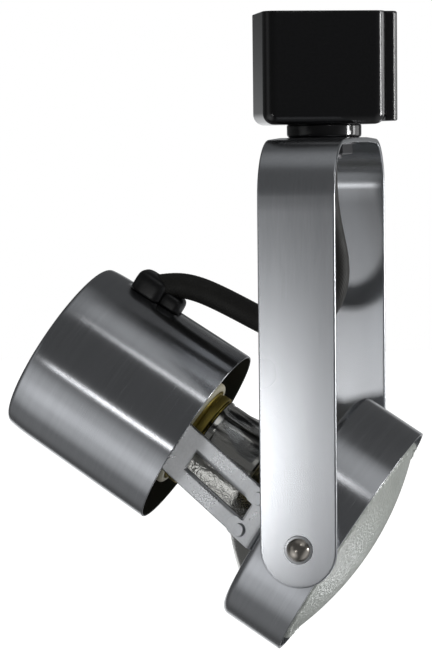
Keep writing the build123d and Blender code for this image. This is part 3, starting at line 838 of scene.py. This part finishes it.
# ---------------------------------------------------------------- bracket legs
LEG_WIDTH, LEG_THICKNESS = 22.4, 1.5
LEG_TIP, LEG_BEND, LEG_BASE = -19.2, -66.0, -107.75
LEG_SIDE = 27.4
LEG_FLARE = math.radians(24.0)
LEG_RADIUS = 3
SLOT_REAR, SLOT_FRONT, SLOT_HALF, SLOT_CORNER = -57.4, -26.0, 3.9, 0.6
RIVET_AT, RIVET_OFFSET = -23.9, 7.55


def leg_outside(z):
    """Distance of a flared leg's outer face from the beam axis."""
    return LEG_SIDE + (z - LEG_BEND) * math.tan(LEG_FLARE)


def bracket_path():
    tip = leg_outside(LEG_TIP) - LEG_THICKNESS / 2
    side = LEG_SIDE - LEG_THICKNESS / 2
    half_path = [(tip, LEG_TIP, 0), (side, LEG_BEND, LEG_RADIUS), (side, LEG_BASE, LEG_RADIUS)]
    other = [(-u, v, r) for u, v, r in half_path]
    return run_path(other + half_path[::-1], steps=8, pitch=8.0)


def slot_cutter(side):
    """Rounded window through one leg, square to the beam."""
    outline = rounded(
        [
            (SLOT_REAR, -SLOT_HALF, SLOT_CORNER),
            (SLOT_FRONT, -SLOT_HALF, SLOT_CORNER),
            (SLOT_FRONT, SLOT_HALF, SLOT_CORNER),
            (SLOT_REAR, SLOT_HALF, SLOT_CORNER),
        ],
        4,
    )
    bm = bmesh.new()
    reach = sorted((20 * side, 60 * side))
    rows = [[bm.verts.new((p.y, y, p.x)) for p in outline] for y in reach]
    skin(bm, rows)
    bm.faces.new(rows[0][::-1])
    bm.faces.new(rows[1])
    return finish_mesh("cutter", bm, CAGE, None)


cage = bent_strap(
    "bracket_legs", bracket_path(), LEG_WIDTH, LEG_THICKNESS, 0.4, CAGE, satin_paint, False
)
leg_holes = []
for side in (-1, 1):
    leg_holes.append(slot_cutter(side))
    outward = (0, side * math.cos(LEG_FLARE), -math.sin(LEG_FLARE))
    for offset in (-RIVET_OFFSET, RIVET_OFFSET):
        spot = (offset, side * leg_outside(RIVET_AT), RIVET_AT)
        leg_holes.append(drill(CAGE, spot, outward, 1.62, 8, 32))
for x in (-15, 15):
    leg_holes.append(drill(BEAM, (x, 0, LEG_BASE), (0, 0, 1), 1.7, 6, 32))
cut_with(cage, leg_holes)
stand_in(cage, "lamp_cage", "lamp_head")


# ---------------------------------------------------------------- pivots
HEAD_SEAT, HEAD_RADIUS, HEAD_RISE = 60.0, 4.6, 2.9
SHANK_END, SHANK_RADIUS = 48.2, 2.0
WASHER_BACK, WASHER_BORE, WASHER_RADIUS = 59.5, 2.1, 5.6


def pivot_screw_profile():
    """Domed head on a plain shank; z runs outwards from the pivot's middle."""
    dome = (HEAD_RADIUS**2 + HEAD_RISE**2) / (2 * HEAD_RISE)
    reach = math.asin(HEAD_RADIUS / dome)
    points = [(SHANK_END, 0), (SHANK_END, SHANK_RADIUS - 0.2), (SHANK_END + 0.3, SHANK_RADIUS)]
    points += [(HEAD_SEAT, SHANK_RADIUS), (HEAD_SEAT, HEAD_RADIUS - 0.1)]
    for k in range(10):
        angle = reach * (1 - k / 10)
        height = HEAD_SEAT + 0.1 + dome * math.cos(angle) - (dome - HEAD_RISE)
        points.append((height, dome * math.sin(angle)))
    return points + [(HEAD_SEAT + 0.1 + HEAD_RISE, 0)]


washer_profile = rounded(
    [
        (WASHER_BACK, WASHER_BORE, 0),
        (WASHER_BACK, WASHER_RADIUS, 0.2),
        (HEAD_SEAT, WASHER_RADIUS, 0.2),
        (HEAD_SEAT, WASHER_BORE, 0),
    ],
    4,
)
for side, place in (("near", 1), ("far", -1)):
    frame_out = HEAD @ Matrix.Rotation(QUARTER * place, 4, "X")
    profile = pivot_screw_profile()
    screw = lathe(f"pivot_screw_{side}", profile, frame_out, nickel, 64, loop=False)
    stand_in(screw, "pivot_screws", "lamp_head")
    washer = lathe(f"pivot_washer_{side}", washer_profile, frame_out, zinc, 64)
    stand_in(washer, "pivot_washers", "lamp_head")


# ---------------------------------------------------------------- cord relief
SQUARENESS = 0.5


def lump(name, centre, half, matrix, material):
    """Soft-cornered block: a superellipsoid of the given half sizes about a point."""
    bm = bmesh.new()
    bmesh.ops.create_uvsphere(bm, u_segments=64, v_segments=40, radius=1.0)
    for vert in bm.verts:
        level = math.hypot(vert.co.x, vert.co.y)
        turn = math.atan2(vert.co.y, vert.co.x)
        for i, part in enumerate((math.cos(turn), math.sin(turn))):
            swell = abs(part) ** SQUARENESS * level**SQUARENESS
            vert.co[i] = math.copysign(swell, part) * half[i]
        vert.co.z = math.copysign(abs(vert.co.z) ** SQUARENESS, vert.co.z) * half[2]
        vert.co += Vector(centre)
    return finish_mesh(name, bm, matrix, material, 60.0)


for name, centre, half in (
    ("relief_rear_lobe", (0, 41.0, -113.3), (6.9, 6.6, 7.2)),
    ("relief_front_lobe", (0, 39.6, -102.6), (5.4, 5.5, 5.0)),
):
    lobe = lump(name, centre, half, BEAM, nylon_black)
    cut_with(lobe, [drill(BEAM, (0, 0, -108), (0, 0, 1), 39.0, 60, 128)])
    stand_in(lobe, "strain_relief", "lamp_head")


# ---------------------------------------------------------------- latch spring
def coil(name, low, high, radius, wire, turns, centre_x, material):
    """Round-wire spring with closed ends, standing in the row frame; sizes in millimetres."""
    bm = bmesh.new()
    rows = []
    count = turns * 28
    for i in range(count + 1):
        part = i / count
        flat = min(1.0, max(0.0, (part * turns - 0.6) / (turns - 1.2)))
        angle = 2 * math.pi * turns * part
        out = Vector((math.cos(angle), math.sin(angle), 0))
        level = low + wire + (high - low - 2 * wire) * flat
        centre = Vector((centre_x, 0, level)) + out * radius
        row = []
        for k in range(12):
            a = 2 * math.pi * k / 12
            row.append(bm.verts.new(centre + (out * math.cos(a) + UP * math.sin(a)) * wire))
        rows.append(row)
    skin(bm, rows)
    bm.faces.new(rows[0][::-1])
    bm.faces.new(rows[-1])
    return finish_mesh(name, bm, Matrix.Identity(4), material, 60.0)


spring_low, spring_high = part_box("latch_spring")
spring_x = (spring_low[0] + spring_high[0]) / 2
spring_z = (spring_low[2] / MM, spring_high[2] / MM)
spring = coil("latch_coil", *spring_z, 2.0, 0.35, 4, spring_x / MM, zinc)
stand_in(spring, "latch_spring", "adapter")
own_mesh(spring)

# ---------------------------------------------------------------- woven cord
CORD_LINE = [
    (-70.8, 96.6), (-60, 97.3), (-45, 92.7), (-26, 83.2), (-14.7, 79.6), (-1.0, 87.3),
    (4.7, 102.5), (2.3, 120), (0, 140), (0, 150), (0, 161),
]  # fmt: skip


def spline_through(points, pitch):
    """Natural cubic spline with chord-length spacing, sampled about every pitch."""
    p = [Vector(q) for q in points]
    n = len(p)
    h = [(b - a).length for a, b in zip(p, p[1:])]
    lower, diagonal, upper = [0.0] * n, [1.0] * n, [0.0] * n
    right = [Vector((0, 0))] * n
    for i in range(1, n - 1):
        lower[i], upper[i], diagonal[i] = h[i - 1], h[i], 2 * (h[i - 1] + h[i])
        right[i] = 6 * ((p[i + 1] - p[i]) / h[i] - (p[i] - p[i - 1]) / h[i - 1])
    for i in range(1, n):
        factor = lower[i] / diagonal[i - 1]
        diagonal[i] -= factor * upper[i - 1]
        right[i] = right[i] - factor * right[i - 1]
    second = [Vector((0, 0))] * n
    for i in range(n - 2, 0, -1):
        second[i] = (right[i] - upper[i] * second[i + 1]) / diagonal[i]
    out = []
    for i in range(n - 1):
        parts = max(2, round(h[i] / pitch))
        for k in range(parts):
            a = k / parts
            b = 1 - a
            bend = ((b**3 - b) * second[i] + (a**3 - a) * second[i + 1]) * h[i] ** 2 / 6
            out.append(p[i] * b + p[i + 1] * a + bend)
    out.append(p[-1])
    return out


def braid_height(u, v):
    """0 to 1 over the crossing strands of a tubular braid; u and v count strands each way."""
    fu, fv = u % 1.0 - 0.5, v % 1.0 - 0.5
    over = (math.floor(u) + math.floor(v)) % 2 == 0
    across, along = (fu, fv) if over else (fv, fu)
    return math.cos(math.pi * across) ** 0.6 * (0.55 + 0.45 * math.cos(2 * math.pi * along * 0.5))


def woven_cord(name, matrix, material):
    """Tube along the cord's line in the head frame, its surface raised into a braid."""
    strands, sides, radius, relief = 22, 132, 4.95, 0.3
    line = spline_through(CORD_LINE, 0.3)
    strand = 2 * math.pi * radius / strands
    bm = bmesh.new()
    uv = bm.loops.layers.uv.new("weave")
    rows = []
    length = 0.0
    lengths = []
    for i, p in enumerate(line):
        before, after = line[max(i - 1, 0)], line[min(i + 1, len(line) - 1)]
        if i:
            length += (p - line[i - 1]).length
        lengths.append(length)
        d = (after - before).normalized()
        side = Vector((-d.y, 0, d.x))
        row = []
        for k in range(sides):
            angle = 2 * math.pi * k / sides
            turns = strands * k / sides
            h = braid_height(turns + length / strand, turns - length / strand)
            r = radius + relief * h
            offset = side * (math.cos(angle) * r) + Vector((0, math.sin(angle) * r, 0))
            row.append(bm.verts.new(Vector((p.x, 0, p.y)) + offset))
        rows.append(row)
    for i in range(len(rows) - 1):
        for k in range(sides):
            j = (k + 1) % sides
            face = bm.faces.new((rows[i][k], rows[i][j], rows[i + 1][j], rows[i + 1][k]))
            spots = ((k, i), (k + 1, i), (k + 1, i + 1), (k, i + 1))
            for loop, (turn, at) in zip(face.loops, spots):
                loop[uv].uv = (turn / sides, lengths[at])
    bm.faces.new(rows[0][::-1])
    bm.faces.new(rows[-1])
    return finish_mesh(name, bm, matrix, material, 60.0)


cord = woven_cord("woven_cord", HEAD, woven)
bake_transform(cord)
stand_in(cord, "power_cord")

# ---------------------------------------------------------------- floor and camera
FLOOR_HALF, FLOOR_DROP = 3.0, 0.42
bm = bmesh.new()
bmesh.ops.create_grid(bm, x_segments=4, y_segments=4, size=FLOOR_HALF)
floor_look = Look("floor")
grain = floor_look.noise(floor_look.place(3.0), 3.0, 0.5)
pale = floor_look.mix(grain, (0.9, 0.9, 0.9), (0.94, 0.94, 0.94))
floor_look.put(Base_Color=pale, Roughness=0.7)
floor_look.put(Emission_Color=(1.0, 1.0, 1.0), Emission_Strength=1.0)
floor_place = Matrix.Translation((0, 0, -FLOOR_DROP))
floor = finish_mesh("floor", bm, floor_place, floor_look.material, scale=1.0)
floor.visible_glossy = False
floor.visible_diffuse = False

# Eye and look angles in the head frame, in millimetres and degrees
YAW, PITCH, ROLL = (math.radians(a) for a in (13.362, 4.686, -0.644))
EYE = Vector((172.994, -920.159, 156.948)) * MM
look_dir = Vector(
    (-math.sin(YAW) * math.cos(PITCH), math.cos(YAW) * math.cos(PITCH), -math.sin(PITCH))
)
right = look_dir.cross(UP).normalized()
over = right.cross(look_dir)
cam_right = right * math.cos(ROLL) + over * math.sin(ROLL)
cam_up = over * math.cos(ROLL) - right * math.sin(ROLL)
cam_data = bpy.data.cameras.new("camera")
cam_data.sensor_width = 36.0
cam_data.lens = 126.66
cam_data.clip_start, cam_data.clip_end = 0.05, 20
cam = bpy.data.objects.new("camera", cam_data)
bpy.context.scene.collection.objects.link(cam)
cam.matrix_world = HEAD @ frame_matrix(EYE, cam_right, cam_up, -look_dir)
bpy.context.scene.camera = cam

# ---------------------------------------------------------------- studio
STUDIO_CENTRE = Vector((-0.03, 0, -0.16))
STUDIO_RADIUS = 1.5


def toward(azimuth, elevation):
    """Unit vector; azimuth 0 is straight out of the adapter's front (-Y), positive to +X."""
    az, el = math.radians(azimuth), math.radians(elevation)
    return Vector((math.sin(az) * math.cos(el), -math.cos(az) * math.cos(el), math.sin(el)))


def softbox(name, azimuth, elevation, width, height, radiance):
    """Rectangular light on the studio's sphere, aimed at its centre."""
    light = bpy.data.lights.new(name, "AREA")
    light.shape = "RECTANGLE"
    light.size, light.size_y = width, height
    light.energy = radiance * math.pi * width * height
    ob = bpy.data.objects.new(name, light)
    bpy.context.scene.collection.objects.link(ob)
    direction = toward(azimuth, elevation)
    ob.location = STUDIO_CENTRE + direction * STUDIO_RADIUS
    ob.rotation_mode = "QUATERNION"
    ob.rotation_quaternion = (-direction).to_track_quat("-Z", "Y")
    return ob


world = bpy.data.worlds.new("studio")
bpy.context.scene.world = world
world.use_nodes = True
world.cycles.sampling_method = "NONE"
tree = world.node_tree


def world_node(kind, links, **settings):
    n = tree.nodes.new(kind)
    for key, value in settings.items():
        setattr(n, key, value)
    for socket, source in links.items():
        if isinstance(source, bpy.types.NodeSocket):
            tree.links.new(source, n.inputs[socket])
        else:
            n.inputs[socket].default_value = source
    return n


def glow(total, azimuth, elevation, inner, outer, radiance):
    """Adds a soft round patch of light, from full at inner to none at outer degrees."""
    ray = tree.nodes["Texture Coordinate"].outputs["Generated"]
    aim = {0: ray, 1: toward(azimuth, elevation)}
    near = world_node("ShaderNodeVectorMath", aim, operation="DOT_PRODUCT")
    patch = world_node(
        "ShaderNodeMapRange",
        {
            "Value": near.outputs["Value"],
            "From Min": math.cos(math.radians(outer)),
            "From Max": math.cos(math.radians(inner)),
            "To Min": 0.0,
            "To Max": radiance,
        },
        interpolation_type="SMOOTHSTEP",
    )
    return world_node("ShaderNodeMath", {0: total, 1: patch.outputs[0]}, operation="ADD").outputs[0]


AMBIENT = 0.10
world_node("ShaderNodeTexCoord", {}).name = "Texture Coordinate"
total = world_node("ShaderNodeValue", {}).outputs[0]
total.default_value = AMBIENT
for patch in (
    (-70, -33, 0, 40, 0.62),
    (-68, -36, 0, 14, 0.38),
    (-122, -46, 4, 34, 0.14),
    (38, 50, 4, 23, 0.50),
    (-178, -13, 3, 18, 0.80),
    (163, -3, 6, 18, 0.38),
    (138, -31, 1, 7, 5.0),
    (82, -34, 10, 60, 0.45),
    (-80, 10, 7, 21, 0.25),
    (-20, 82, 5, 30, 0.18),
):
    total = glow(total, *patch)
surround = tree.nodes["Background"]
tree.links.new(total, surround.inputs["Strength"])
surround.inputs["Color"].default_value = (0.97, 0.985, 1.0, 1)
backdrop = world_node("ShaderNodeBackground", {"Color": (1, 1, 1, 1), "Strength": 1.0})
ray_kind = world_node("ShaderNodeLightPath", {})
mixed = world_node(
    "ShaderNodeMixShader",
    {0: ray_kind.outputs["Is Camera Ray"], 1: surround.outputs[0], 2: backdrop.outputs[0]},
)
tree.links.new(mixed.outputs[0], tree.nodes["World Output"].inputs["Surface"])

softbox("key", -36.0, -8.5, 0.12, 0.12, 19.0)
softbox("overhead", 11, 47, 0.16, 0.16, 4.0)
softbox("side", 95, 3, 0.22, 0.6, 7.0)
softbox("edge", 74, -1, 0.3, 0.22, 24.0)


def panels(group, receivers, blockers, lights, glossy=True):
    """Soft lights that reach only some of the pieces and are shaded only by the blockers.

    glossy=False samples a light only directly, so a nearby piece can't hide its reflection.
    """
    lit = bpy.data.collections.new(group + "_receivers")
    shading = bpy.data.collections.new(group + "_blockers")
    for ob in receivers:
        lit.objects.link(ob)
    for ob in blockers:
        shading.objects.link(ob)
    for name, *settings in lights:
        panel = softbox(name, *settings)
        panel.light_linking.receiver_collection = lit
        panel.light_linking.blocker_collection = shading
        panel.data.cycles.use_multiple_importance_sampling = glossy


# The bracket stands half inside the can, so it is lit on its own
nodes = frame["nodes"]
panels(
    "bracket",
    (cage, nodes["cage_feet"], nodes["cage_rivets"]),
    (yoke,),
    (
        ("bracket_side", -79, 10, 0.5, 0.5, 0.76),
        ("bracket_back", -116, 20, 0.5, 0.5, 2.2),
    ),
    glossy=False,
)
# A tall panel draws the bright line down the adapter's glossy corner
panels(
    "adapter",
    (nodes["adapter_housing"], nodes["release_latch"], collar),
    (yoke,),
    (
        ("adapter_line", 70, -1, 0.17, 0.9, 30.0),
        ("adapter_sheen", 112, 0, 0.6, 0.6, 1.2),
    ),
)
bpy.context.scene.view_settings.view_transform = "Standard"
